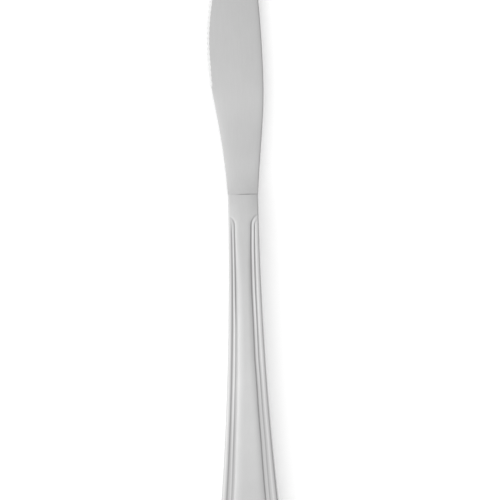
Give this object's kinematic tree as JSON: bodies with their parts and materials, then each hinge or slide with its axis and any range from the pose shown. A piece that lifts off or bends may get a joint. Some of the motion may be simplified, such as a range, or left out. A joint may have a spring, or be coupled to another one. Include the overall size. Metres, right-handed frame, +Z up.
{
  "type": "table knife",
  "caption": "Stainless table knife with a serrated, bellied blade and a flared hollow handle bordered by pressed grooves.",
  "frame": {"origin": "on the table, midway along the knife, under the axis of its handle; the knife lies on its back face", "axes": "+Y towards the tip of the blade, +X towards the spine, +Z up out of the front face"},
  "size_m": [0.0228, 0.2339, 0.008],
  "materials": {
    "blade_steel": "fine satin, ground along the blade",
    "handle_steel": "soft satin, polished grooves",
    "cement": "matt cast filler"
  },
  "bodies": {
    "root": {"blade": "blade_steel", "handle_front_shell": "handle_steel", "handle_back_shell": "handle_steel", "tang_cement": "cement"}
  },
  "joints": []
}
